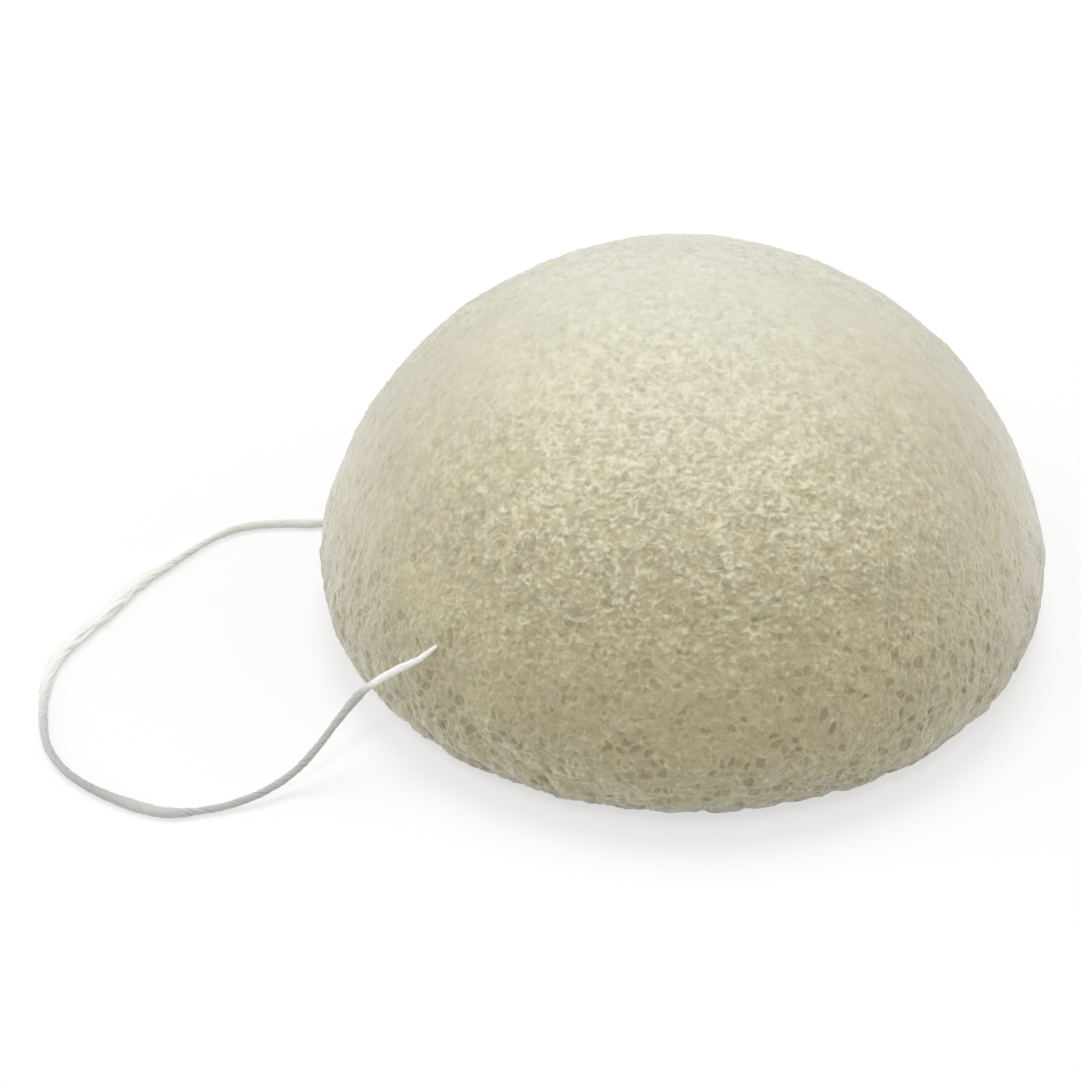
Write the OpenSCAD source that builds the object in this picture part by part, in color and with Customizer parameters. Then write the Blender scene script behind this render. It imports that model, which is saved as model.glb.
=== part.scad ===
// Half-ball konjac sponge with a loop of cotton string threaded through its left side.
// Millimetres. The sponge stands on its flat base at z = 0, and its axis of symmetry is Z.
// The string's cut ends meet in a reef knot inside the foam, halfway along its passage.

/* [Sponge] */
// Widest diameter of the sponge
sponge_diameter = 80; // [72:1:100]
// Height from the flat base to the crown
sponge_height = 40; // [32:1:45]
// Radius of the tighter shoulder just above the widest line
shoulder_radius = 16.5; // [10:0.5:24]
// Radius of the rounded edge between the base and the widest line
lower_edge_radius = 6.5; // [4.5:0.5:9]

/* [String] */
// Diameter of the twisted cotton string
string_diameter = 1; // [0.8:0.1:1.3]
// Radial room between the string and the wall of its passage
passage_clearance = 0.05; // [0.02:0.01:0.1]
// Height of the near mouth of the passage above the base
near_mouth_height = 15.5; // [13:0.5:17]
// Direction of the near mouth seen from above, in degrees from +X
near_mouth_angle = -132; // [-135:1:-129]
// Height of the far mouth of the passage above the base
far_mouth_height = 5; // [4:0.5:8]
// Direction of the far mouth seen from above, in degrees from +X
far_mouth_angle = 155; // [151:1:159]
// Radius of the dimple that the string pulls into the foam at each mouth
dimple_radius = 1.6; // [1.4:0.1:2.2]
// Depth past each dimple at which the loop meets the threaded ends
seat_depth = 0.6; // [0.3:0.1:2]

/* [Knot] */
// Distance of the knot's middle from the near mouth, along the passage
knot_distance = 23.5; // [18:0.5:28]
// Least room between the knot and the pocket that it presses into the foam
pocket_clearance = 0.3; // [0.2:0.05:0.8]
// Length of each cut tail past its last crossing
tail_length = 2; // [1:0.25:2.5]

/* [Hidden] */
$fn = 96;

// Least height of the string's underside over the table
lay_gap = 0.05;
// Sides of every string tube, rings for each step of the loop's route and of the knot's
tube_sides = 8;
loop_rings = 2;
knot_rings = 3;
// The round turn at each mouth: how much of the dimple it takes, and its steps
bend_share = 0.85;
bend_steps = 4;

// Where the free loop runs, from the near mouth round to the far mouth. The third number is the
// height of the string's underside over the table.
loop_points = [
    [-28, -28, 13.2], [-31, -27.5, 11], [-34, -27.5, 8.5], [-36.5, -29, 6], [-39, -31, 3.5],
    [-41.5, -32.5, 1.5], [-45, -34.5, 0.5], [-49.5, -36, 0], [-53.5, -36.5, 0], [-57, -35.5, 0],
    [-60, -34, 0], [-63, -32, 0], [-65.5, -29.5, 0], [-67.5, -26, 0], [-68.5, -22, 0],
    [-69, -17, 0], [-68.5, -12, 0], [-67, -8.5, 0], [-64.5, -4.5, 0], [-61.5, 1, 0],
    [-58, 5, 0], [-54, 9.5, 0], [-51.5, 11.5, 0], [-49, 12.5, 0], [-45, 12.9, 0],
    [-42, 12.8, 0], [-39.6, 13.6, 0], [-38.4, 15.5, 1.4]
];

// Half of the reef knot as shares of the string's diameter, from the standing end round the bight
// to the last crossing of its cut end: sideways, up, and along the passage from the knot's middle.
half_knot_shares = [
    [0, 0, -7.2], [0, 0, -6.3], [0.25, 0.3, -5.3], [0.6, 0.65, -4.2], [0.6, 0.65, -3.1],
    [0.65, 0.3, -2.1], [0.8, -0.35, -1.1], [1.15, -0.65, 0], [1.65, -0.5, 1.1], [1.75, 0, 2.1],
    [1.35, 0.5, 3], [0.65, 0.65, 3.45], [0, 0.65, 3.6], [-0.65, 0.65, 3.45], [-1.35, 0.5, 3],
    [-1.75, 0, 2.1], [-1.65, -0.5, 1.1], [-1.15, -0.65, 0], [-0.8, -0.35, -1.1],
    [-0.65, 0.3, -2.1], [-0.6, 0.65, -3.1]
];
// Farthest reach of the knot's surface from the passage's axis, as a share of the diameter
knot_reach_share = 2.3;

// The dome's outline: a lower edge, a shoulder and a crown, as three arcs that meet smoothly
sponge_radius = sponge_diameter / 2;
base_radius = sponge_radius - lower_edge_radius;
widest_height = lower_edge_radius;
shoulder_centre = sponge_radius - shoulder_radius;
dome_rise = sponge_height - widest_height;
crown_radius = (shoulder_centre ^ 2 + dome_rise ^ 2 - shoulder_radius ^ 2)
    / (2 * (dome_rise - shoulder_radius));
crown_centre = sponge_height - crown_radius;
blend_angle = atan2(widest_height - crown_centre, shoulder_centre);
blend_height = widest_height + shoulder_radius * sin(blend_angle);

// The string's passage, a straight line through the foam
string_radius = string_diameter / 2;
near_mouth = on_sponge(near_mouth_height, near_mouth_angle);
far_mouth = on_sponge(far_mouth_height, far_mouth_angle);
passage = far_mouth - near_mouth;
passage_length = norm(passage);
passage_tilt = acos(passage.z / passage_length);
passage_turn = atan2(passage.y, passage.x);
seat_distance = dimple_radius + seat_depth;
near_seat = near_mouth + unit(passage) * seat_distance;
far_seat = far_mouth - unit(passage) * seat_distance;

// The knot's own sizes
half_knot = concat(
    half_knot_shares * string_diameter,
    [last(half_knot_shares) * string_diameter - [0, 0, tail_length]]
);
knot_half_length = -half_knot[0].z;
pocket_radius = knot_reach_share * string_diameter + pocket_clearance;
tail_reach = tail_length - last(half_knot_shares).z * string_diameter;
pocket_half_length = max(tail_reach - string_radius, knot_half_length - pocket_radius);

function last(list) = list[len(list) - 1];
function unit(v) = v / norm(v);

// Radius of the sponge's side at a height
function radius_at(z) =
    z < widest_height ? base_radius + sqrt(lower_edge_radius ^ 2 - (widest_height - z) ^ 2)
    : z < blend_height ? shoulder_centre + sqrt(shoulder_radius ^ 2 - (z - widest_height) ^ 2)
    : sqrt(crown_radius ^ 2 - (z - crown_centre) ^ 2);

// A point on the sponge's side, from its height and its direction
function on_sponge(z, angle) = [radius_at(z) * cos(angle), radius_at(z) * sin(angle), z];

// A smooth curve through points, with so many rings for each step between them
function smooth(points, rings) = [
    for (i = [0 : len(points) - 2])
        let (
            b = points[i],
            c = points[i + 1],
            a = i > 0 ? points[i - 1] : 2 * b - c,
            d = i < len(points) - 2 ? points[i + 2] : 2 * c - b
        )
        for (k = [0 : rings - 1])
            let (t = k / rings)
            (2 * b + (c - a) * t + (2 * a - 5 * b + 4 * c - d) * t ^ 2
                + (3 * b - a - 3 * c + d) * t ^ 3) / 2,
    last(points)
];

// Keeps the string's middle a radius and a little over the table
function above_table(p) = [p.x, p.y, max(p.z, string_radius + lay_gap)];

// One ring of a tube: square to the path at its ends, and mitred between two steps elsewhere.
// The path never runs along the direction given as upright.
function ring(path, i, radius, upright) =
    let (
        before = i > 0 ? unit(path[i] - path[i - 1]) : unit(path[1] - path[0]),
        after = i < len(path) - 1 ? unit(path[i + 1] - path[i]) : before,
        mitre = unit(before + after),
        side = unit(cross(before, upright)),
        up = cross(side, before)
    )
    [
        for (k = [0 : tube_sides - 1])
            let (
                angle = 360 * k / tube_sides,
                spoke = radius * (cos(angle) * side + sin(angle) * up)
            )
            path[i] + spoke - before * (spoke * mitre) / (before * mitre)
    ];

// The string's round turn at a mouth of its passage, as an arc inside the dimple
function mouth_bend(from, mouth, to) =
    let (
        inlet = unit(from - mouth) * dimple_radius * bend_share,
        outlet = unit(to - mouth) * dimple_radius * bend_share,
        middle = unit(inlet + outlet),
        centre = middle * (inlet * inlet) / (inlet * middle),
        turn = acos((inlet - centre) * (outlet - centre) / norm(inlet - centre) ^ 2)
    )
    [
        for (k = [0 : bend_steps])
            let (t = k / bend_steps)
            mouth + centre + ((inlet - centre) * sin((1 - t) * turn)
                + (outlet - centre) * sin(t * turn)) / sin(turn)
    ];

// The free string's route: from its seat in the near mouth, round the loop and into the far one
loop_line = smooth([for (p = loop_points) p + [0, 0, string_radius]], loop_rings);
loop_route = concat(
    [near_seat],
    mouth_bend(near_seat, near_mouth, loop_line[0]),
    loop_line,
    mouth_bend(last(loop_line), far_mouth, far_seat),
    [far_seat]
);
loop_path = [for (p = loop_route) above_table(p)];

// A closed tube along a path, with flat ends
module tube(path, radius, upright) {
    rings = len(path);
    n = tube_sides;
    polyhedron(
        points = [for (i = [0 : rings - 1]) each ring(path, i, radius, upright)],
        faces = concat(
            [[for (k = [n - 1 : -1 : 0]) k]],
            [
                for (i = [0 : rings - 2], k = [0 : n - 1])
                    let (a = i * n + k, b = i * n + (k + 1) % n)
                    each [[a, b, a + n], [b, b + n, a + n]]
            ],
            [[for (k = [0 : n - 1]) (rings - 1) * n + k]]
        ),
        convexity = 10
    );
}

// Puts what is drawn along +Z onto the passage, starting at the near mouth
module along_passage() {
    translate(near_mouth) rotate([0, passage_tilt, passage_turn]) children();
}

// Right half of the sponge's upright section
module half_section() {
    square([base_radius, widest_height]);
    square([shoulder_centre, blend_height]);
    intersection() {
        translate([base_radius, widest_height]) circle(lower_edge_radius);
        square([sponge_radius, widest_height]);
    }
    intersection() {
        translate([shoulder_centre, widest_height]) circle(shoulder_radius);
        translate([0, widest_height]) square([sponge_radius, blend_height - widest_height]);
    }
    intersection() {
        translate([0, crown_centre]) circle(crown_radius);
        translate([0, blend_height]) square([sponge_radius, sponge_height - blend_height]);
    }
}

// The room that the knot presses into the foam, about its own middle
module knot_pocket() {
    cylinder(h = 2 * pocket_half_length, r = pocket_radius, center = true);
    for (end = [-1, 1]) translate([0, 0, end * pocket_half_length]) sphere(pocket_radius);
}

module sponge_body() {
    color([0.86, 0.85, 0.76]) difference() {
        rotate_extrude() half_section();
        along_passage() {
            cylinder(h = passage_length, r = string_radius + passage_clearance);
            translate([0, 0, knot_distance]) knot_pocket();
        }
        for (mouth = [near_mouth, far_mouth]) translate(mouth) sphere(dimple_radius);
    }
}

module string_loop() {
    color([0.95, 0.95, 0.92]) tube(loop_path, string_radius, [0, 0, 1]);
}

// One threaded end of the string, from its seat into its half of the knot, about the knot's middle
module threaded_end(seat_to_knot) {
    tube(smooth(half_knot, knot_rings), string_radius, [0, 1, 0]);
    translate([0, 0, -seat_to_knot])
        cylinder(h = seat_to_knot - knot_half_length, r = string_radius);
}

module string_near_end() {
    color([0.93, 0.93, 0.88]) along_passage() translate([0, 0, knot_distance])
        threaded_end(knot_distance - seat_distance);
}

module string_far_end() {
    color([0.9, 0.9, 0.84]) along_passage() translate([0, 0, knot_distance]) rotate([180, 0, 0])
        threaded_end(passage_length - knot_distance - seat_distance);
}

sponge_body();
string_loop();
string_near_end();
string_far_end();
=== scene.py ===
"""Looks of a half-ball konjac sponge and its loop of thin cotton string.

Sizes and points are in millimetres here, and MM turns them into Blender's metres.
"""
import math

import bpy
import numpy as np
from mathutils import Matrix, Vector


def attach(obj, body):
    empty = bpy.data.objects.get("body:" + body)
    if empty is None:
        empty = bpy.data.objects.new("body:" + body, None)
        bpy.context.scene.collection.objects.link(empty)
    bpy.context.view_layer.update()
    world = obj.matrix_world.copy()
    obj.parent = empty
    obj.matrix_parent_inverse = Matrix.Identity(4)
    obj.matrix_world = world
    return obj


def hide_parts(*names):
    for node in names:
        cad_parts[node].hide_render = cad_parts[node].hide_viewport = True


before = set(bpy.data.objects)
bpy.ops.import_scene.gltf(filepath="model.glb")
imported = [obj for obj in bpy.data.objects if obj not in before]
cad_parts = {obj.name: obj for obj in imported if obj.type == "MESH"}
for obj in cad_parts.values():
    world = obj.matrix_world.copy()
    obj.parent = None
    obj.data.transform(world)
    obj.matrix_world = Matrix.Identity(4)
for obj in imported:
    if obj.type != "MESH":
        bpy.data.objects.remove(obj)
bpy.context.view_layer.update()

MM = 0.001

# Sponge, as in the CAD source
SPONGE_RADIUS = 40.0
SPONGE_HEIGHT = 40.0
SHOULDER_RADIUS = 16.5
LOWER_EDGE_RADIUS = 6.5
BASE_RADIUS = SPONGE_RADIUS - LOWER_EDGE_RADIUS
SHOULDER_CENTRE = SPONGE_RADIUS - SHOULDER_RADIUS
DOME_RISE = SPONGE_HEIGHT - LOWER_EDGE_RADIUS
CROWN_RADIUS = (SHOULDER_CENTRE**2 + DOME_RISE**2 - SHOULDER_RADIUS**2) / (2 * (DOME_RISE - SHOULDER_RADIUS))
CROWN_CENTRE = SPONGE_HEIGHT - CROWN_RADIUS
BLEND_ANGLE = math.atan2(LOWER_EDGE_RADIUS - CROWN_CENTRE, SHOULDER_CENTRE)

# String and its passage, as in the CAD source
STRING_RADIUS = 0.5
LAY_GAP = 0.05
DIMPLE_RADIUS = 1.6
SEAT_DEPTH = 0.6
BEND_SHARE = 0.85
KNOT_DISTANCE = 23.5
TAIL_LENGTH = 2.0
# At the near mouth the string turns only once it is in the foam
SUNK_TURN = 1.2
# Each mouth's height on the foam, and its direction from the middle in degrees
NEAR_MOUTH_PLACE = (15.5, -132.0)
FAR_MOUTH_PLACE = (5.0, 155.0)

# The free loop's route, with the height of the string's underside over the table
LOOP_POINTS = [
    (-28, -28, 13.2), (-31, -27.5, 11), (-34, -27.5, 8.5), (-36.5, -29, 6), (-39, -31, 3.5),
    (-41.5, -32.5, 1.5), (-45, -34.5, 0.5), (-49.5, -36, 0), (-53.5, -36.5, 0), (-57, -35.5, 0),
    (-60, -34, 0), (-63, -32, 0), (-65.5, -29.5, 0), (-67.5, -26, 0), (-68.5, -22, 0),
    (-69, -17, 0), (-68.5, -12, 0), (-67, -8.5, 0), (-64.5, -4.5, 0), (-61.5, 1, 0),
    (-58, 5, 0), (-54, 9.5, 0), (-51.5, 11.5, 0), (-49, 12.5, 0), (-45, 12.9, 0),
    (-42, 12.8, 0), (-39.6, 13.6, 0), (-38.4, 15.5, 1.4),
]

# Half of the reef knot: sideways, up, and along the passage from the knot's middle
HALF_KNOT = [
    (0, 0, -7.2), (0, 0, -6.3), (0.25, 0.3, -5.3), (0.6, 0.65, -4.2), (0.6, 0.65, -3.1),
    (0.65, 0.3, -2.1), (0.8, -0.35, -1.1), (1.15, -0.65, 0), (1.65, -0.5, 1.1), (1.75, 0, 2.1),
    (1.35, 0.5, 3), (0.65, 0.65, 3.45), (0, 0.65, 3.6), (-0.65, 0.65, 3.45), (-1.35, 0.5, 3),
    (-1.75, 0, 2.1), (-1.65, -0.5, 1.1), (-1.15, -0.65, 0), (-0.8, -0.35, -1.1),
    (-0.65, 0.3, -2.1), (-0.6, 0.65, -3.1),
]


# Camera

CAMERA_PLACE = (-15.666, -243.116, 190.867)
CAMERA_TILT = 37.0
CAMERA_ROLL = 0.156
CAMERA_LENS = 91.35
SENSOR_WIDTH = 36.0
SEEN_FROM = 10.0
SEEN_TO = 20000.0


def add_camera():
    """A camera at the photograph's place, which looks along +Y and down at the sponge."""
    tilt = math.radians(CAMERA_TILT)
    roll = math.radians(CAMERA_ROLL)
    level = Vector((1, 0, 0))
    raised = Vector((0, math.sin(tilt), math.cos(tilt)))
    forward = Vector((0, math.cos(tilt), -math.sin(tilt)))
    right = math.cos(roll) * level - math.sin(roll) * raised
    up = math.sin(roll) * level + math.cos(roll) * raised
    data = bpy.data.cameras.new("camera")
    data.sensor_width = SENSOR_WIDTH
    data.lens = CAMERA_LENS
    data.clip_start = SEEN_FROM * MM
    data.clip_end = SEEN_TO * MM
    camera = new_object("camera", data)
    place = Matrix((right, up, -forward)).transposed().to_4x4()
    place.translation = Vector(CAMERA_PLACE) * MM
    camera.matrix_world = place
    bpy.context.scene.camera = camera


# Small helpers

def unit(vectors):
    """The same directions, each of length 1."""
    return vectors / np.linalg.norm(vectors, axis=-1, keepdims=True)


def between(low, high, share):
    """The value at a share of the way from low to high."""
    return low + (high - low) * share


def smooth_step(low, high, values):
    """0 at low and below, 1 at high and above, and a smooth rise from one to the other."""
    share = np.clip((values - low) / (high - low), 0.0, 1.0)
    return share * share * (3.0 - 2.0 * share)


def new_object(name, data):
    """An object in the scene that shows this mesh, camera or lamp."""
    thing = bpy.data.objects.new(name, data)
    bpy.context.scene.collection.objects.link(thing)
    return thing


def triangle_mesh(name, points, triangles):
    """A smooth-shaded mesh from points in millimetres and rows of three point numbers."""
    mesh = bpy.data.meshes.new(name)
    mesh.vertices.add(len(points))
    mesh.vertices.foreach_set("co", (np.asarray(points) * MM).astype(np.float32).ravel())
    mesh.loops.add(3 * len(triangles))
    mesh.loops.foreach_set("vertex_index", np.asarray(triangles, np.int32).ravel())
    mesh.polygons.add(len(triangles))
    mesh.polygons.foreach_set("loop_start", np.arange(0, 3 * len(triangles), 3, dtype=np.int32))
    mesh.polygons.foreach_set("use_smooth", np.ones(len(triangles), bool))
    mesh.update(calc_edges=True)
    mesh.validate()
    return mesh


def point_values(mesh, name, values):
    """One number for each vertex, which the materials read by name."""
    layer = mesh.attributes.new(name, "FLOAT", "POINT")
    layer.data.foreach_set("value", np.asarray(values, np.float32))


def corner_map(mesh, places):
    """The map that the baked textures use: one place for each corner of each face."""
    layer = mesh.uv_layers.new(name="OFBake")
    layer.data.foreach_set("uv", np.asarray(places, np.float32).ravel())


# Noise in space, from one seeded table

TABLE_SIZE = 4096
TABLE = np.random.default_rng(20).random((TABLE_SIZE, 4))
# Large odd numbers that scatter a cell and a seed over the table
SCATTER_X = 73856093
SCATTER_Y = 19349663
SCATTER_Z = 83492791
SCATTER_SEED = 2654435
SCATTER_AGAIN = 40503
# A pore's middle stays this share of a cell inside its cell
PORE_MARGIN = 0.1
# Pores are worked out for this many points at once, to save memory
BATCH = 40000


def table_rows(cells, seed):
    """The row of the table for each cell of a grid in space."""
    mixed = (cells[..., 0] * SCATTER_X ^ cells[..., 1] * SCATTER_Y ^ cells[..., 2] * SCATTER_Z
             ^ seed * SCATTER_SEED)
    mixed ^= mixed >> 15
    return (mixed * SCATTER_AGAIN >> 4) & (TABLE_SIZE - 1)


def noise(points, size, seed):
    """Smooth noise from -1 to 1, with features about as large as size."""
    scaled = points / size
    low = np.floor(scaled).astype(np.int64)
    share = smooth_step(0.0, 1.0, scaled - low)
    total = np.zeros(len(points))
    for corner in np.ndindex(2, 2, 2):
        step = np.array(corner)
        weight = np.where(step == 1, share, 1.0 - share).prod(axis=1)
        total += weight * TABLE[table_rows(low + step, seed), 0]
    return 2.0 * total - 1.0


def warped(points, size, amount, seed):
    """The points moved by noise, so that no wall between two pores is straight."""
    shift = np.stack([noise(points, size, seed + axis) for axis in range(3)], axis=1)
    return points + amount * shift


def pores(points, size, seed):
    """For each point, how far it is from the middle of its pore, how much further the next pore
    is, which is 0 on the wall between the two, and a random number of its pore."""
    nearest = np.empty(len(points))
    wall = np.empty(len(points))
    chance = np.empty(len(points))
    around = np.array(list(np.ndindex(3, 3, 3))) - 1
    for start in range(0, len(points), BATCH):
        scaled = points[start:start + BATCH] / size
        cells = np.floor(scaled).astype(np.int64)[:, None, :] + around[None]
        rows = table_rows(cells, seed)
        middles = cells + PORE_MARGIN + (1.0 - 2.0 * PORE_MARGIN) * TABLE[rows, :3]
        away = np.linalg.norm(middles - scaled[:, None, :], axis=2)
        order = np.argpartition(away, 1, axis=1)[:, :2]
        first, second = np.take_along_axis(away, order, axis=1).T
        own = np.take_along_axis(rows, order[:, :1], axis=1)[:, 0]
        stop = start + len(scaled)
        nearest[start:stop] = first * size
        wall[start:stop] = (second - first) * size
        chance[start:stop] = TABLE[own, 3]
    return nearest, wall, chance


# The sponge's outline

CROWN_ARC = CROWN_RADIUS * (math.pi / 2 - BLEND_ANGLE)
SHOULDER_ARC = SHOULDER_RADIUS * BLEND_ANGLE
EDGE_ARC = LOWER_EDGE_RADIUS * math.pi / 2
DOME_ARC = CROWN_ARC + SHOULDER_ARC + EDGE_ARC
WHOLE_ARC = DOME_ARC + BASE_RADIUS


def radius_at(z):
    """The sponge's radius at a height."""
    if z < LOWER_EDGE_RADIUS:
        return BASE_RADIUS + math.sqrt(LOWER_EDGE_RADIUS**2 - (LOWER_EDGE_RADIUS - z)**2)
    if z < LOWER_EDGE_RADIUS + SHOULDER_RADIUS * math.sin(BLEND_ANGLE):
        return SHOULDER_CENTRE + math.sqrt(SHOULDER_RADIUS**2 - (z - LOWER_EDGE_RADIUS)**2)
    return math.sqrt(CROWN_RADIUS**2 - (z - CROWN_CENTRE)**2)


def on_sponge(z, angle):
    """A point on the sponge, from its height and its direction in degrees."""
    turn = math.radians(angle)
    return np.array([radius_at(z) * math.cos(turn), radius_at(z) * math.sin(turn), z])


def outline(arc):
    """Radius, height and outward direction (across, up) at lengths along the outline from the crown."""
    arc = np.asarray(arc, float)
    zones = [arc < CROWN_ARC, arc < CROWN_ARC + SHOULDER_ARC, arc < DOME_ARC]
    slopes = [
        np.pi / 2 - arc / CROWN_RADIUS,
        BLEND_ANGLE - (arc - CROWN_ARC) / SHOULDER_RADIUS,
        -(arc - CROWN_ARC - SHOULDER_ARC) / LOWER_EDGE_RADIUS,
    ]
    radii = [CROWN_RADIUS, SHOULDER_RADIUS, LOWER_EDGE_RADIUS]
    centres = [(0.0, CROWN_CENTRE), (SHOULDER_CENTRE, LOWER_EDGE_RADIUS), (BASE_RADIUS, LOWER_EDGE_RADIUS)]
    arcs = list(zip(centres, radii, slopes))
    across = np.select(zones, [centre[0] + radius * np.cos(slope) for centre, radius, slope in arcs],
                       WHOLE_ARC - arc)
    height = np.select(zones, [centre[1] + radius * np.sin(slope) for centre, radius, slope in arcs], 0.0)
    slope = np.select(zones, slopes, -np.pi / 2)
    return across, height, np.cos(slope), np.sin(slope)


# Places of the string

NEAR_MOUTH = on_sponge(*NEAR_MOUTH_PLACE)
FAR_MOUTH = on_sponge(*FAR_MOUTH_PLACE)
PASSAGE = unit(FAR_MOUTH - NEAR_MOUTH)
PASSAGE_LENGTH = float(np.linalg.norm(FAR_MOUTH - NEAR_MOUTH))
SEAT_DISTANCE = DIMPLE_RADIUS + SEAT_DEPTH
NEAR_SEAT = NEAR_MOUTH + PASSAGE * SEAT_DISTANCE
FAR_SEAT = FAR_MOUTH - PASSAGE * SEAT_DISTANCE
CURVE_STEP = 0.1
BEND_POINTS = 9


def spline(points, step):
    """A smooth curve through the points, with a point about every step."""
    points = np.asarray(points, float)
    longer = np.vstack([2 * points[0] - points[1], points, 2 * points[-1] - points[-2]])
    route = []
    for before, start, stop, after in zip(longer, longer[1:], longer[2:], longer[3:]):
        count = max(1, int(round(np.linalg.norm(stop - start) / step)))
        t = np.arange(count)[:, None] / count
        route.append((2 * start + (stop - before) * t
                      + (2 * before - 5 * start + 4 * stop - after) * t**2
                      + (3 * start - before - 3 * stop + after) * t**3) / 2)
    route.append(points[-1:])
    return np.vstack(route)


def mouth_bend(start, mouth, end, reach=DIMPLE_RADIUS * BEND_SHARE):
    """The string's round turn at a mouth of its passage, as an arc inside the dimple."""
    inlet = unit(start - mouth) * reach
    outlet = unit(end - mouth) * reach
    middle = unit(inlet + outlet)
    centre = middle * (inlet @ inlet) / (inlet @ middle)
    first = inlet - centre
    last = outlet - centre
    turn = math.acos(first @ last / (first @ first))
    share = np.linspace(0.0, 1.0, BEND_POINTS)[:, None]
    arc = (first * np.sin((1 - share) * turn) + last * np.sin(share * turn)) / math.sin(turn)
    return mouth + centre + arc


def even(route, step):
    """The same route with points at one even step."""
    lengths = np.concatenate([[0.0], np.cumsum(np.linalg.norm(np.diff(route, axis=0), axis=1))])
    places = np.linspace(0.0, lengths[-1], int(round(lengths[-1] / step)) + 1)
    return np.stack([np.interp(places, lengths, route[:, axis]) for axis in range(3)], axis=1)


def loop_route(step):
    """The free loop, from its seat in the near mouth round to its seat in the far mouth."""
    line = spline(np.array(LOOP_POINTS, float) + [0.0, 0.0, STRING_RADIUS], CURVE_STEP)
    sunk_turn = NEAR_MOUTH + PASSAGE * SUNK_TURN
    route = np.vstack([
        NEAR_SEAT,
        mouth_bend(NEAR_SEAT, sunk_turn, line[0], SEAT_DISTANCE - SUNK_TURN),
        line,
        mouth_bend(line[-1], FAR_MOUTH, FAR_SEAT),
        FAR_SEAT,
    ])
    route[:, 2] = np.maximum(route[:, 2], STRING_RADIUS + LAY_GAP)
    return even(route, step)


def threaded_route(step, far):
    """One threaded end: along the passage from its seat, and through its half of the knot to its
    cut tail."""
    knot = np.vstack([HALF_KNOT, np.array(HALF_KNOT[-1]) - [0.0, 0.0, TAIL_LENGTH]])
    run = (PASSAGE_LENGTH - KNOT_DISTANCE if far else KNOT_DISTANCE) - SEAT_DISTANCE
    route = np.vstack([[0.0, 0.0, -run], spline(knot, CURVE_STEP)])
    if far:
        route = route * [1.0, -1.0, -1.0]
    tilt = math.acos(PASSAGE[2])
    turn = math.atan2(PASSAGE[1], PASSAGE[0])
    place = np.array(Matrix.Rotation(turn, 3, "Z") @ Matrix.Rotation(tilt, 3, "Y"))
    return even(NEAR_MOUTH + (route + [0.0, 0.0, KNOT_DISTANCE]) @ place.T, step)


# The string's twisted cotton

YARNS = 9
YARN_LEAD = 4.0
# Shares of the string's radius
YARN_REACH = 0.66
YARN_RADIUS = 0.33
SLACK_YARN_RADIUS = 0.5
YARN_BULGE = 0.02
CORE_RADIUS = 0.62
# Where the string is slack, it loses this share of its twist
LOST_TWIST = 0.92
# Lengths over which a yarn strays from its course and gets thicker or thinner
STRAY_LENGTH = 2.6
BULGE_LENGTH = 1.1
# How far a yarn strays round the string in radians, and outwards as a share of its reach, each
# where the twist is tight and where it is slack
STRAY_ROUND = (0.25, 0.6)
STRAY_OUT = (0.07, 0.15)
# The noises of two yarns are this many features apart
LANE_GAP = 9.0
# Each yarn fills this share of its strip of the map for baking
STRIP_SHARE = 0.9

LOOP_STEP = 0.15
LOOP_YARN_SIDES = 8
END_STEP = 0.3
END_YARN_SIDES = 6
END_WIDTH = 0.9

# Each row is a length along the loop from the near mouth's seat, and the value there.
# The string is drawn thin at the front and swells at the back left, where its twist is loose.
LOOP_WIDTHS = [
    (0, 0.34), (1.6, 0.38), (3.2, 0.62), (6, 0.74), (11, 0.8), (12, 1.08), (14, 0.9), (17, 0.78),
    (21, 0.82), (27, 0.85), (31, 0.78), (33, 0.8), (36, 1.1), (40, 1.18), (46, 0.92), (53, 0.87),
    (59, 0.98), (66, 1.0), (86, 1.0), (90, 0.92), (93, 0.76), (96, 0.85), (100, 1.0), (118, 1.0),
]
LOOP_SLACK = [(58, 0.0), (66, 0.7), (72, 1.0), (84, 1.0), (92, 0.0)]
LOOP_SPREADS = [(60, 0.0), (66, 0.25), (70, 0.75), (75, 0.6), (80, 0.8), (85, 0.4), (90, 0.0)]
# 0 is white cotton and 1 is greyer cotton
LOOP_GREYS = [
    (0, 0.0), (9.5, 0.0), (11.5, 0.82), (28, 0.88), (38, 0.68), (45, 1.0), (53, 0.85), (58, 0.65),
    (65, 0.08), (84, 0.0), (91, 0.2), (100, 0.26), (118, 0.34),
]


def cross_directions(route):
    """Two directions square to the route at each point, with as little turning as possible."""
    tangents = unit(np.gradient(route, axis=0))
    side = np.cross(tangents[0], [0.0, 0.0, 1.0])
    if np.linalg.norm(side) < 0.1:
        side = np.cross(tangents[0], [1.0, 0.0, 0.0])
    sides = np.empty_like(route)
    for row, tangent in enumerate(tangents):
        side = side - tangent * (side @ tangent)
        side = side / np.linalg.norm(side)
        sides[row] = side
    return sides, np.cross(tangents, sides)


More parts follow.
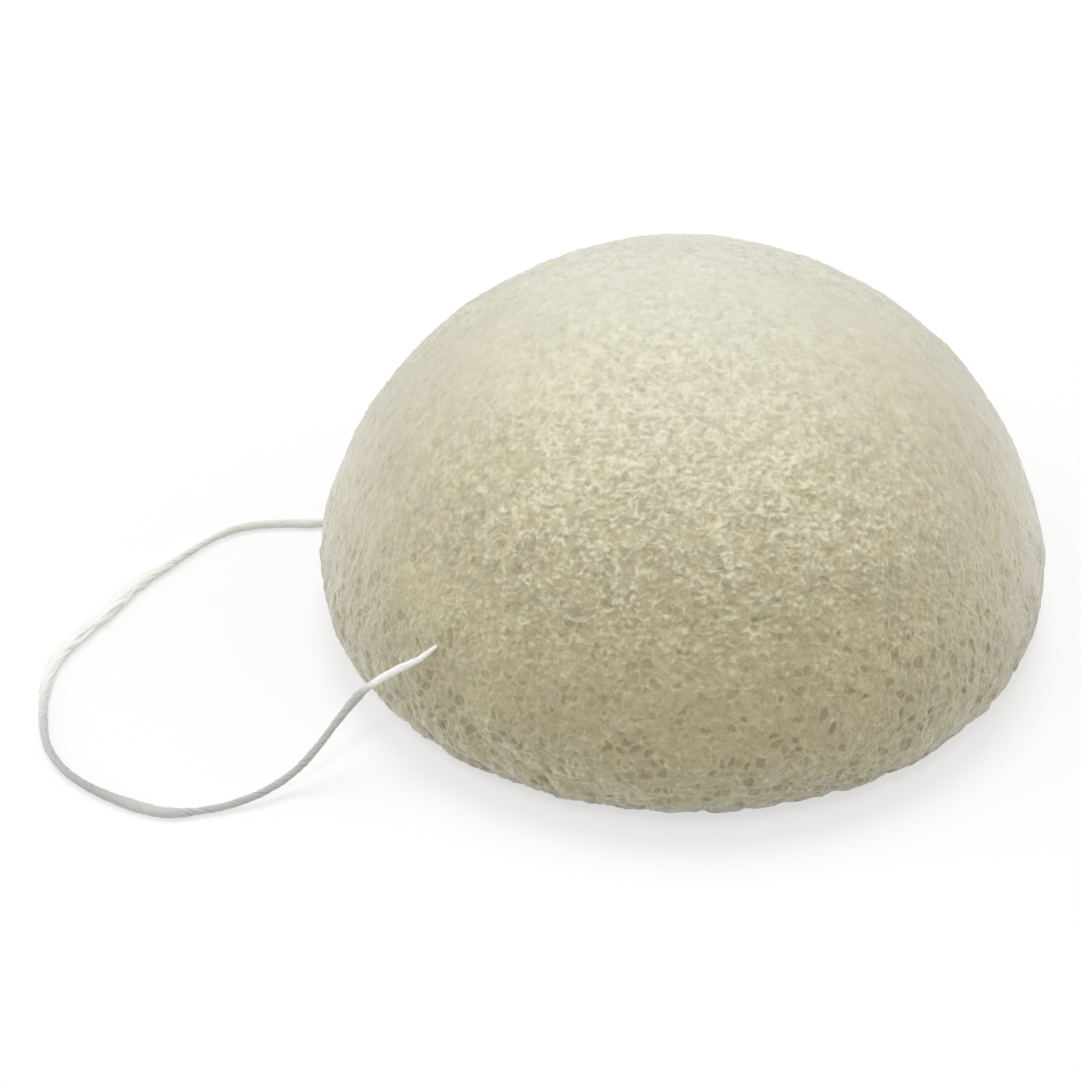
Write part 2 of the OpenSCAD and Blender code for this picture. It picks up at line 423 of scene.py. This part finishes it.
def tube(route, radii, around):
    """Points and triangles of a closed tube, and its corners' places on a unit square."""
    sides, ups = cross_directions(route)
    angles = 2 * np.pi * np.arange(around) / around
    spokes = np.cos(angles)[None, :, None] * sides[:, None] + np.sin(angles)[None, :, None] * ups[:, None]
    points = (route[:, None] + radii[:, None, None] * spokes).reshape(-1, 3)
    steps = len(route) - 1

    ring, spoke = np.meshgrid(np.arange(steps), np.arange(around), indexing="ij")
    here = (ring * around + spoke).ravel()
    beside = (ring * around + (spoke + 1) % around).ravel()
    walls = np.stack([here, beside, beside + around, here, beside + around, here + around], axis=1)
    left = (ring / steps).ravel()
    right = ((ring + 1) / steps).ravel()
    low = (spoke / around).ravel()
    high = ((spoke + 1) / around).ravel()
    wall_places = np.stack([left, low, left, high, right, high, left, low, right, high, right, low], axis=1)

    # The end caps are inside the foam, so a tiny place on the map is enough for them
    spoke = np.arange(around)
    ahead = (spoke + 1) % around
    end = steps * around
    start_cap = np.stack([np.full(around, len(points)), ahead, spoke], axis=1)
    end_cap = np.stack([np.full(around, len(points) + 1), end + spoke, end + ahead], axis=1)
    cap_places = np.tile([[0.0, 0.0], [0.001, 0.0], [0.0, 0.001]], (2 * around, 1))

    points = np.vstack([points, route[:1], route[-1:]])
    triangles = np.vstack([walls.reshape(-1, 3), start_cap, end_cap])
    return points, triangles, np.vstack([wall_places.reshape(-1, 2), cap_places])


def along_noise(along, size, seed, lane=0.0):
    """Noise along a line; each lane has its own."""
    flat = np.zeros_like(along)
    return noise(np.stack([along, flat + LANE_GAP * size * lane, flat], axis=1), size, seed)


def twisted_string(name, route, widths, spreads, slack, greys, around, seed):
    """Yarns twisted round a soft core. widths scales the string, spreads widens it sideways,
    slack from 0 to 1 takes out twist, and greys says how grey the cotton is."""
    step = np.linalg.norm(np.diff(route, axis=0), axis=1).mean()
    along = np.arange(len(route)) * step
    turned = np.concatenate([[0.0], np.cumsum(step * (1.0 - LOST_TWIST * slack[1:]))])
    radius = STRING_RADIUS * widths
    sides, ups = cross_directions(route)
    level = np.cross(np.gradient(route, axis=0), [0.0, 0.0, 1.0])
    level = level / np.maximum(np.linalg.norm(level, axis=1, keepdims=True), 1e-6)
    all_points, all_triangles, all_places = [], [], []
    count = 0

    def for_points(rows):
        return np.concatenate([np.repeat(rows, around, axis=0), rows[[0, -1]]])

    for yarn in range(YARNS + 1):
        stray = along_noise(along, STRAY_LENGTH, seed, yarn)
        bulge = along_noise(along, BULGE_LENGTH, seed + 1, yarn)
        turn = 2 * np.pi * (yarn / YARNS + turned / YARN_LEAD) + between(*STRAY_ROUND, slack) * stray
        reach = radius * YARN_REACH * (1.0 + between(*STRAY_OUT, slack) * bulge)
        thickness = radius * (between(YARN_RADIUS, SLACK_YARN_RADIUS, slack) + YARN_BULGE * bulge)
        if yarn == YARNS:
            # The core runs down the middle
            reach = np.zeros_like(along)
            thickness = radius * CORE_RADIUS
        offset = reach[:, None] * (np.cos(turn)[:, None] * sides + np.sin(turn)[:, None] * ups)
        points, triangles, places = tube(route + offset, thickness, around)
        sideways = ((points - for_points(route)) * for_points(level)).sum(axis=1)
        points += (for_points(spreads) * sideways)[:, None] * for_points(level)
        all_points.append(points)
        all_triangles.append(triangles + count)
        strip = (yarn + places[:, 1] * STRIP_SHARE) / (YARNS + 1)
        all_places.append(np.stack([places[:, 0], strip], axis=1))
        count += len(points)
    points = np.vstack(all_points)
    points[:, 2] = np.maximum(points[:, 2], 0.0)
    mesh = triangle_mesh(name, points, np.vstack(all_triangles))
    point_values(mesh, "grey", np.tile(for_points(greys), YARNS + 1))
    corner_map(mesh, np.vstack(all_places))
    return new_object(name, mesh)


def build_loop(route):
    """The free loop, thicker and thinner, looser and greyer along its length as photographed."""
    length = np.linalg.norm(np.diff(route, axis=0), axis=1).sum()
    along = np.linspace(0.0, length, len(route))
    widths, spreads, slack, greys = [
        np.interp(along, *zip(*rows)) for rows in (LOOP_WIDTHS, LOOP_SPREADS, LOOP_SLACK, LOOP_GREYS)
    ]
    unevenness = 0.06 * along_noise(along, 2.0, 31) + 0.04 * along_noise(along, 0.9, 32)
    return twisted_string("string_loop_cotton", route, widths * (1.0 + unevenness), spreads, slack,
                          greys, LOOP_YARN_SIDES, 61)


def build_threaded_end(name, far, seed):
    """A threaded end, plain and clean from its seat to its cut tail."""
    route = threaded_route(END_STEP, far)
    none = np.zeros(len(route))
    return twisted_string(name, route, none + END_WIDTH, none, none, none, END_YARN_SIDES, seed)


# Materials

# Colour of the foam's walls at shares of this height, palest at the crown: partly the foam's own colour and
# partly painted shade down the side
COLOUR_HEIGHT = 42.0
FOAM_COLOURS_AND_SHADE = [
    (0.0, (0.56, 0.505, 0.31)),
    (0.26, (0.58, 0.52, 0.32)),
    (0.43, (0.637, 0.574, 0.35)),
    (0.55, (0.60, 0.542, 0.341)),
    (0.65, (0.66, 0.60, 0.392)),
    (0.75, (0.715, 0.665, 0.455)),
    (0.83, (0.79, 0.75, 0.548)),
    (0.95, (0.872, 0.855, 0.69)),
]
CLOUD_TINT = (0.95, 0.95, 0.96, 1)
# Painted shade in the pores, and pale crests that are partly painted highlight
PORE_SHADE_TINT = (0.75, 0.72, 0.61, 1)
PALE_CREST_AND_HIGHLIGHT_COLOUR = (0.96, 0.935, 0.80, 1)
# Painted shade between the skins' fine folds
BETWEEN_FOLDS_SHADE_TINT = (0.89, 0.885, 0.855, 1)
# Painted glints, bright specks in the foam's colour
PAINTED_GLINT_COLOUR = (0.96, 0.95, 0.90, 1)
COTTON_COLOURS = ((0.96, 0.955, 0.91, 1), (0.99, 0.985, 0.95, 1))
GREYER_COTTON_COLOUR = (0.46, 0.475, 0.44, 1)


def new_material(name):
    """A material, its node tree and its main shader."""
    material = bpy.data.materials.new(name)
    material.use_nodes = True
    tree = material.node_tree
    return material, tree, tree.nodes["Principled BSDF"]


def set_inputs(tree, node, inputs):
    """Sets a node's inputs, each to a number or colour, or by a link from another node's output."""
    for name, value in inputs.items():
        if isinstance(value, bpy.types.NodeSocket):
            tree.links.new(value, node.inputs[name])
        else:
            node.inputs[name].default_value = value


def add(tree, kind, inputs=None, **settings):
    """A new node with these settings and inputs."""
    node = tree.nodes.new(kind)
    for name, value in settings.items():
        setattr(node, name, value)
    set_inputs(tree, node, inputs or {})
    return node


def attribute(tree, name):
    """The number that point_values gave each vertex under this name."""
    return add(tree, "ShaderNodeAttribute", attribute_name=name).outputs["Fac"]


def calculated(tree, operation, first, second=0.0):
    """The result of a calculation with one or two values."""
    return add(tree, "ShaderNodeMath", {0: first, 1: second}, operation=operation).outputs["Value"]


def stretched(tree, value, old, new=(0.0, 1.0)):
    """The value, with the range old stretched to the range new and cut off at both ends."""
    limits = {"From Min": old[0], "From Max": old[1], "To Min": new[0], "To Max": new[1]}
    return add(tree, "ShaderNodeMapRange", {"Value": value, **limits}).outputs["Result"]


def blended(tree, share, first, second, blend="MIX"):
    """The first colour, blended with that share of the second."""
    node = add(tree, "ShaderNodeMix", {"Factor": share, "A": first, "B": second},
               data_type="RGBA", blend_type=blend)
    return node.outputs["Result"]


def foam_material():
    """Pale thin skins over olive pores, with a soft gloss, painted shade down the side and in the pores, and
    painted highlights on the crests and in a few glints.
    """
    material, tree, shader = new_material("konjac_foam_look")
    place = add(tree, "ShaderNodeTexCoord").outputs["Object"]
    pore = attribute(tree, "pore")
    tone = attribute(tree, "tone")

    # Palest at the crown, darker and more yellow down the side: partly the foam's own colour where the pores
    # are open, and partly painted shade where less light falls
    height = add(tree, "ShaderNodeSeparateXYZ", {"Vector": place}).outputs["Z"]
    ramp = add(tree, "ShaderNodeValToRGB", {"Fac": stretched(tree, height, (0.0, COLOUR_HEIGHT * MM))})
    stops = ramp.color_ramp.elements
    for share, _ in FOAM_COLOURS_AND_SHADE[1:-1]:
        stops.new(share)
    for stop, (share, wall_colour_and_shade) in zip(stops, FOAM_COLOURS_AND_SHADE):
        stop.position = share
        stop.color = (*wall_colour_and_shade, 1)
    colour = ramp.outputs["Color"]

    # Cloudy patches
    cloud = add(tree, "ShaderNodeTexNoise", {"Vector": place, "Scale": 130.0, "Detail": 3.0})
    cloudiness = stretched(tree, cloud.outputs["Fac"], (0.35, 0.65))
    colour = blended(tree, cloudiness, colour, CLOUD_TINT, "MULTIPLY")

    # Mottling of about a millimetre, both paler and darker
    mottled = add(tree, "ShaderNodeVectorMath", {"Vector": colour, "Scale": tone}, operation="SCALE")
    colour = mottled.outputs["Vector"]

    # Darker and olive in the pores as painted shade, and pale crests on the crinkled skins, partly paler skin
    # and partly painted highlight, where pore is below 0
    colour = blended(tree, pore, colour, PORE_SHADE_TINT, "MULTIPLY")
    colour = blended(tree, stretched(tree, pore, (0.0, -1.0), (0.0, 0.75)), colour, PALE_CREST_AND_HIGHLIGHT_COLOUR)

    # Fine crooked folds in the thin skins: paler and glossier along each fold, with painted shade between the
    # folds
    grain = add(tree, "ShaderNodeTexNoise",
                {"Vector": place, "Scale": 2600.0, "Detail": 2.0, "Distortion": 0.7})
    away = calculated(tree, "ABSOLUTE", calculated(tree, "SUBTRACT", grain.outputs["Fac"], 0.5))
    fold = stretched(tree, away, (0.0, 0.11), (1.0, 0.0))
    between_folds_shade = stretched(tree, fold, (0.0, 1.0), (1.0, 0.0))
    colour = blended(tree, between_folds_shade, colour, BETWEEN_FOLDS_SHADE_TINT, "MULTIPLY")
    bump = add(tree, "ShaderNodeBump", {"Height": fold, "Strength": 0.45, "Distance": 0.12 * MM})

    # A few tiny painted glints: bright specks in the colour
    speck = add(tree, "ShaderNodeTexVoronoi", {"Vector": place, "Scale": 900.0})
    chosen = calculated(tree, "GREATER_THAN", speck.outputs["Color"], 0.985)
    close = stretched(tree, speck.outputs["Distance"], (0.12, 0.2), (0.85, 0.0))
    colour = blended(tree, calculated(tree, "MULTIPLY", chosen, close), colour, PAINTED_GLINT_COLOUR)

    set_inputs(tree, shader, {
        "Base Color": colour,
        "Normal": bump.outputs["Normal"],
        "Roughness": stretched(tree, fold, (0.0, 1.0), (0.5, 0.15)),
        "IOR": 1.4,
        "Subsurface Weight": 1.0,
        "Subsurface Radius": (1.0, 0.9, 0.6),
        "Subsurface Scale": 0.3 * MM,
        "Sheen Weight": 1.0,
        "Sheen Roughness": 0.5,
        "Coat Weight": 0.15,
        "Coat Roughness": 0.5,
    })
    return material


def cotton_material():
    """Matt white cotton, which is greyer where its grey value is higher."""
    material, tree, shader = new_material("cotton_string_look")
    place = add(tree, "ShaderNodeTexCoord").outputs["Object"]
    noise_node = add(tree, "ShaderNodeTexNoise", {"Vector": place, "Scale": 3800.0, "Detail": 3.0})
    fibres = noise_node.outputs["Fac"]
    clean = blended(tree, fibres, *COTTON_COLOURS)
    bump = add(tree, "ShaderNodeBump", {"Height": fibres, "Strength": 0.3, "Distance": 0.03 * MM})
    set_inputs(tree, shader, {
        "Base Color": blended(tree, attribute(tree, "grey"), clean, GREYER_COTTON_COLOUR),
        "Normal": bump.outputs["Normal"],
        "Roughness": 0.8,
        "Sheen Weight": 1.0,
        "Sheen Roughness": 0.4,
    })
    return material


# The sponge's surface

DOME_STEP = 0.16
BASE_STEP = 0.32
# Rings on the base over which the step grows from one to the other
GROWING_RINGS = 6
FEWEST_ON_RING = 6
RINGS_SEED = 5


def sponge_surface():
    """Rings of points down the outline, stitched into triangles. Gives each point's length along
    the outline and its angle, the triangles, and which of them are on the flat base."""
    dome_count = int(round(DOME_ARC / DOME_STEP))
    dome = np.arange(1, dome_count + 1) * DOME_ARC / dome_count
    base_count = int(round(BASE_RADIUS / BASE_STEP))
    base = DOME_ARC + np.arange(1, base_count) * BASE_RADIUS / base_count
    arcs = np.concatenate([dome, base])
    steps = np.concatenate([
        np.full(dome_count, DOME_STEP),
        np.linspace(DOME_STEP, BASE_STEP, GROWING_RINGS),
        np.full(len(base) - GROWING_RINGS, BASE_STEP),
    ])
    across = outline(arcs)[0]
    rng = np.random.default_rng(RINGS_SEED)
    counts = np.maximum(FEWEST_ON_RING, np.round(2 * np.pi * across / steps)).astype(int)
    starts = 1 + np.concatenate([[0], np.cumsum(counts)])
    angles = [2 * np.pi * (np.arange(count) + rng.random()) / count for count in counts]
    point_arcs = np.concatenate([[0.0], np.repeat(arcs, counts), [WHOLE_ARC]])
    point_angles = np.concatenate([[0.0], np.concatenate(angles), [0.0]])

    # A fan at the crown, strips between the rings, and a fan in the middle of the base
    first = np.arange(counts[0])
    strips = [np.stack([np.zeros_like(first), 1 + first, 1 + (first + 1) % counts[0]], axis=1)]
    on_base = [np.zeros(counts[0], bool)]
    for row in range(len(arcs) - 1):
        top_count, bottom_count = counts[row], counts[row + 1]
        top, bottom = starts[row], starts[row + 1]
        top_middles = angles[row] + np.pi / top_count
        bottom_middles = angles[row + 1] + np.pi / bottom_count
        above = np.arange(top_count)
        below = np.searchsorted(bottom_middles, top_middles, "right")
        strips.append(np.stack([top + above, bottom + below % bottom_count, top + (above + 1) % top_count],
                               axis=1))
        below = np.arange(bottom_count)
        above = np.searchsorted(top_middles, bottom_middles, "left")
        strips.append(np.stack([top + above % top_count, bottom + below, bottom + (below + 1) % bottom_count],
                               axis=1))
        on_base.append(np.full(top_count + bottom_count, row >= dome_count - 1))
    last = np.arange(counts[-1])
    end = starts[-2]
    strips.append(np.stack([end + last, np.full_like(last, starts[-1]), end + (last + 1) % counts[-1]],
                           axis=1))
    on_base.append(np.ones(counts[-1], bool))
    return point_arcs, point_angles, np.vstack(strips), np.concatenate(on_base)


# Each row is a lump's size, its height at the crown and low down, and its seed
FOAM_LUMPS = [(14.0, 0.22, 0.22, 1), (6.0, 0.12, 0.12, 2), (3.4, 0.05, 0.19, 3), (1.4, 0.07, 0.07, 4)]
SCALLOP_SIZE = 5.0
SCALLOP_HEIGHT = 0.26
PORE_SIZE = 1.15
SHALLOWEST_PORE = 0.05
DEEPEST_PORE = 0.33
# The surface sinks by this, so that its crests stay near the smooth outline
SURFACE_SINK = 0.06
# Nothing stands out past the outline this close to the flat base
BASE_RIM = 0.5
# Each mouth's middle, how deep the foam is drawn in round it, and how far round
MOUTH_FUNNELS = ((NEAR_MOUTH, 0.1), (FAR_MOUTH, 0.4))
FUNNEL_WIDTH = 0.7
# Middle and radius of the dome and of the flat base on the map for baking
DOME_ON_MAP = (0.35, 0.345)
BASE_ON_MAP = (0.785, 0.21)


def strands(points, size, thickness, seed):
    """A broken net of thin strands: 1 along a strand's middle, 0 between strands."""
    _, wall, _ = pores(points, size, seed)
    net = 1.0 - smooth_step(0.0, thickness, wall)
    return net * np.clip(0.55 + 0.9 * noise(points, 1.3 * size, seed + 1), 0.0, 1.0)


def crinkles(points, size, seed):
    """Short crooked ridges and grains: 1 along a ridge, 0 away from it."""
    ridge = np.clip(1.0 - 2.6 * np.abs(noise(points, size, seed)), 0.0, 1.0)
    ridge *= np.clip(0.5 + 1.1 * noise(points, 1.7 * size, seed + 1), 0.0, 1.0)
    grain = np.clip(0.2 + 1.3 * noise(points + 5.0, 0.8 * size, seed + 2), 0.0, 1.0)
    return 0.55 * ridge + 0.65 * grain


def roughness_of_place(points):
    """1 on the rough front and back, down to 0 on the calmer left and right sides. The front's
    rough part narrows towards the sides, and the back's hardly does."""
    front = smooth_step(-18.0, 20.0, -points[:, 1] - 0.58 * np.abs(points[:, 0] + 2.0))
    back = smooth_step(-2.0, 9.0, points[:, 1] - 0.1 * np.abs(points[:, 0]))
    return np.maximum(front, back)


def lumps_and_scallops(points, low_down):
    """Broad lumps, and scallops with creases between them round the lower edge."""
    lumps = sum(between(height, low_height, low_down) * noise(points, size, seed)
                for size, height, low_height, seed in FOAM_LUMPS)
    _, crease, _ = pores(warped(points, size=3.0, amount=0.6, seed=71), SCALLOP_SIZE, seed=74)
    near_edge = 1.0 - smooth_step(6.0, 13.0, points[:, 2])
    return lumps + SCALLOP_HEIGHT * near_edge * (smooth_step(0.0, 1.6, crease) - 0.7)


def strands_and_skins(points, low_down, rough):
    """Thin strands across the pores low down, and crinkled skins higher up."""
    crinkled = warped(points, size=0.5, amount=0.14, seed=41)
    calm = between(0.5, 1.0, rough)
    coarse_net = 0.085 * strands(crinkled, size=1.0, thickness=0.33, seed=51)
    fine_net = 0.065 * strands(crinkled + 31.0, size=0.65, thickness=0.28, seed=55)
    net = between(0.3, 1.0, low_down) * calm * (coarse_net + fine_net)

    flattened = crinkled * [1.0, 1.0, 1.5]
    coarse_skins = 0.13 * crinkles(flattened, size=0.72, seed=61)
    fine_skins = 0.14 * between(0.4, 1.0, rough) * crinkles(flattened + 17.0, size=0.48, seed=65)
    fade = between(1.0, 0.78, smooth_step(32.0, 40.0, points[:, 2]))
    return net + between(1.0, 0.4, low_down) * fade * calm * (coarse_skins + fine_skins)


def foam_relief(points, arcs):
    """Three numbers for each point of the smooth outline: the height of the foam's surface over
    it, how much painted shade its pore gets, which is below 0 where a crest gets a painted highlight, and how
    pale its mottling is."""
    z = points[:, 2]
    low_down = 1.0 - smooth_step(3.0, 32.0, z)
    rough = roughness_of_place(points)
    lumps = lumps_and_scallops(points, low_down)
    raised = strands_and_skins(points, low_down, rough)

    # Pores, which open and get deeper down the side
    bent = warped(warped(points, size=2.0, amount=0.35, seed=11), size=0.55, amount=0.16, seed=14)
    nearest, wall, chance = pores(bent, PORE_SIZE, seed=21)
    opening = smooth_step(0.02, 0.34, wall) * (1.0 - 0.4 * np.clip(nearest / 0.7, 0.0, 1.0) ** 2)
    own_depth = between(SHALLOWEST_PORE, DEEPEST_PORE, chance**3)
    pits = own_depth * between(0.15, 1.0, low_down) * between(0.6, 1.0, rough) * opening

    on_side = smooth_step(0.0, 4.0, DOME_ARC - arcs)
    relief = lumps * on_side - pits + raised - SURFACE_SINK
    relief = np.where(arcs > DOME_ARC - BASE_RIM, np.minimum(relief, 0.0), relief)

    # Painted shade in the pores, and crests paler partly by their own colour and partly by painted highlight:
    # crests are palest high on the side, and pits and crests stand out more at the lower edge
    high_up = smooth_step(11.0, 31.0, z)
    edge = 1.0 - smooth_step(6.0, 15.0, z)
    hollow = opening * own_depth * between(0.4, 0.9, low_down)
    shade = (4.2 + 2.4 * edge) * hollow - (3.6 + 3.9 * high_up + 2.4 * edge) * raised
    shade = np.clip(shade + between(0.53, 0.6, high_up), -1.0, 1.0) * between(0.6, 1.0, rough)

    mottling = noise(points, 0.9, seed=85) + 0.6 * noise(points, 0.5, seed=86)
    strength = 0.07 + 0.08 * high_up * (1.0 - smooth_step(26.0, 36.0, z))
    tone = 1.0 + strength * between(0.55, 1.0, rough) * mottling
    return relief, shade, tone


def build_sponge():
    """The foam: its smooth outline moved in and out by the relief."""
    arcs, angles, triangles, on_base = sponge_surface()
    across, height, out, up = outline(arcs)
    points = np.stack([across * np.cos(angles), across * np.sin(angles), height], axis=1)
    normals = np.stack([out * np.cos(angles), out * np.sin(angles), up], axis=1)
    relief, shade, tone = foam_relief(points, arcs)
    for mouth, depth in MOUTH_FUNNELS:
        away = np.linalg.norm(points - mouth, axis=1)
        funnel = depth * np.exp(-(away / FUNNEL_WIDTH) ** 2)
        relief = relief * (1.0 - funnel) - funnel
    moved = points + normals * relief[:, None]
    moved[:, 2] = np.maximum(moved[:, 2], 0.0)
    mesh = triangle_mesh("sponge_foam", moved, triangles)
    # The pores' painted shade, and the crests' paleness, partly painted highlight
    point_values(mesh, "pore", shade)
    point_values(mesh, "tone", tone)

    # The dome is spread out as one disc on the map, and the base as a smaller one
    corner = triangles.ravel()
    base_corner = np.repeat(on_base, 3)
    reach = np.where(base_corner, BASE_ON_MAP[1] * (WHOLE_ARC - arcs[corner]) / BASE_RADIUS,
                     DOME_ON_MAP[1] * arcs[corner] / DOME_ARC)
    middle = np.where(base_corner, BASE_ON_MAP[0], DOME_ON_MAP[0])
    facing = np.where(base_corner, -1.0, 1.0)
    turn = angles[corner]
    places = [middle + reach * np.cos(turn), middle + facing * reach * np.sin(turn)]
    corner_map(mesh, np.stack(places, axis=1))
    return new_object("sponge_foam", mesh)


# Floor and light

FLOOR_REACH = 3000.0
# The floor is this far under the table's plane, so that the base doesn't flicker on it
FLOOR_DROP = 0.1
# Where the floor is seen, this share of it is lit by the lamps, and the rest glows white
FLOOR_LIT_SHARE = 0.4
FLOOR_SEEN_COLOUR = (0.97, 0.97, 0.97, 1)
FLOOR_BOUNCE_COLOUR = (0.80, 0.80, 0.79, 1)
WHITE = (1.0, 1.0, 1.0)
ROOM_LIGHT = 0.32
# Each lamp's name, the share of white that it gives a white surface facing it, then in degrees
# its width in the sky and how far it leans back and to the right of straight up, and its colour
LAMPS = [
    ("soft_top", 0.36, 30, 18, 0, WHITE),
    ("window", 0.14, 9, -31, -8, WHITE),
    ("left", 0.42, 80, 0, -70, (0.97, 1.0, 1.06)),
    ("right", 0.3, 80, 0, 70, WHITE),
]


def seen_directly(tree):
    """1 for what the camera sees straight, mirrored or through glass, and 0 for what lights the object."""
    path = add(tree, "ShaderNodeLightPath").outputs
    seen = calculated(tree, "MAXIMUM", path["Is Camera Ray"], path["Is Glossy Ray"])
    return calculated(tree, "MAXIMUM", seen, path["Is Transmission Ray"])


def chosen_shader(tree, share, first, second):
    """The first shader, blended with that share of the second."""
    return add(tree, "ShaderNodeMixShader", {"Fac": share, 1: first, 2: second}).outputs["Shader"]


def add_stage():
    """A floor that looks near white, keeps the object's shadow and lights the object as pale grey."""
    reach = FLOOR_REACH * MM
    mesh = bpy.data.meshes.new("floor")
    corners = [(-reach, -reach, 0), (reach, -reach, 0), (reach, reach, 0), (-reach, reach, 0)]
    mesh.from_pydata(corners, [], [(0, 1, 2, 3)])
    floor = new_object("floor", mesh)
    floor.location.z = -FLOOR_DROP * MM
    material, tree, shader = new_material("floor_white")
    tree.nodes.remove(shader)
    glow = add(tree, "ShaderNodeEmission").outputs["Emission"]
    lit = add(tree, "ShaderNodeBsdfDiffuse", {"Color": FLOOR_SEEN_COLOUR}).outputs["BSDF"]
    white = chosen_shader(tree, FLOOR_LIT_SHARE, glow, lit)
    grey = add(tree, "ShaderNodeBsdfDiffuse", {"Color": FLOOR_BOUNCE_COLOUR}).outputs["BSDF"]
    surface = chosen_shader(tree, seen_directly(tree), grey, white)
    set_inputs(tree, tree.nodes["Material Output"], {"Surface": surface})
    mesh.materials.append(material)


def add_light():
    """A soft even room that looks white, and four far lamps."""
    world = bpy.data.worlds.new("soft_room")
    world.use_nodes = True
    tree = world.node_tree
    lit = tree.nodes["Background"]
    set_inputs(tree, lit, {"Color": (*WHITE, 1), "Strength": ROOM_LIGHT})
    seen = add(tree, "ShaderNodeBackground", {"Color": (*WHITE, 1)})
    room = chosen_shader(tree, seen_directly(tree), lit.outputs["Background"], seen.outputs["Background"])
    set_inputs(tree, tree.nodes["World Output"], {"Surface": room})
    bpy.context.scene.world = world

    for name, share, width, back, side, colour in LAMPS:
        data = bpy.data.lights.new(name, "SUN")
        data.energy = share * math.pi
        data.color = colour
        data.angle = math.radians(width)
        lean = Matrix.Rotation(math.radians(side), 3, "Y") @ Matrix.Rotation(-math.radians(back), 3, "X")
        from_where = lean @ Vector((0, 0, 1))
        lamp = new_object(name, data)
        lamp.location = from_where
        lamp.rotation_euler = (-from_where).to_track_quat("-Z", "Y").to_euler()


# Everything together

bpy.context.scene.view_settings.view_transform = "Standard"
add_camera()

cotton = cotton_material()
route = loop_route(LOOP_STEP)
loop = build_loop(route)
near_end = build_threaded_end("string_near_end_cotton", False, 62)
far_end = build_threaded_end("string_far_end_cotton", True, 63)
for piece, node in ((loop, "string_loop"), (near_end, "string_near_end"), (far_end, "string_far_end")):
    piece.data.materials.append(cotton)
    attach(piece, "string")
    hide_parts(node)

sponge = build_sponge()
sponge.data.materials.append(foam_material())
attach(sponge, "sponge")
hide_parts("sponge_body")

add_stage()
add_light()
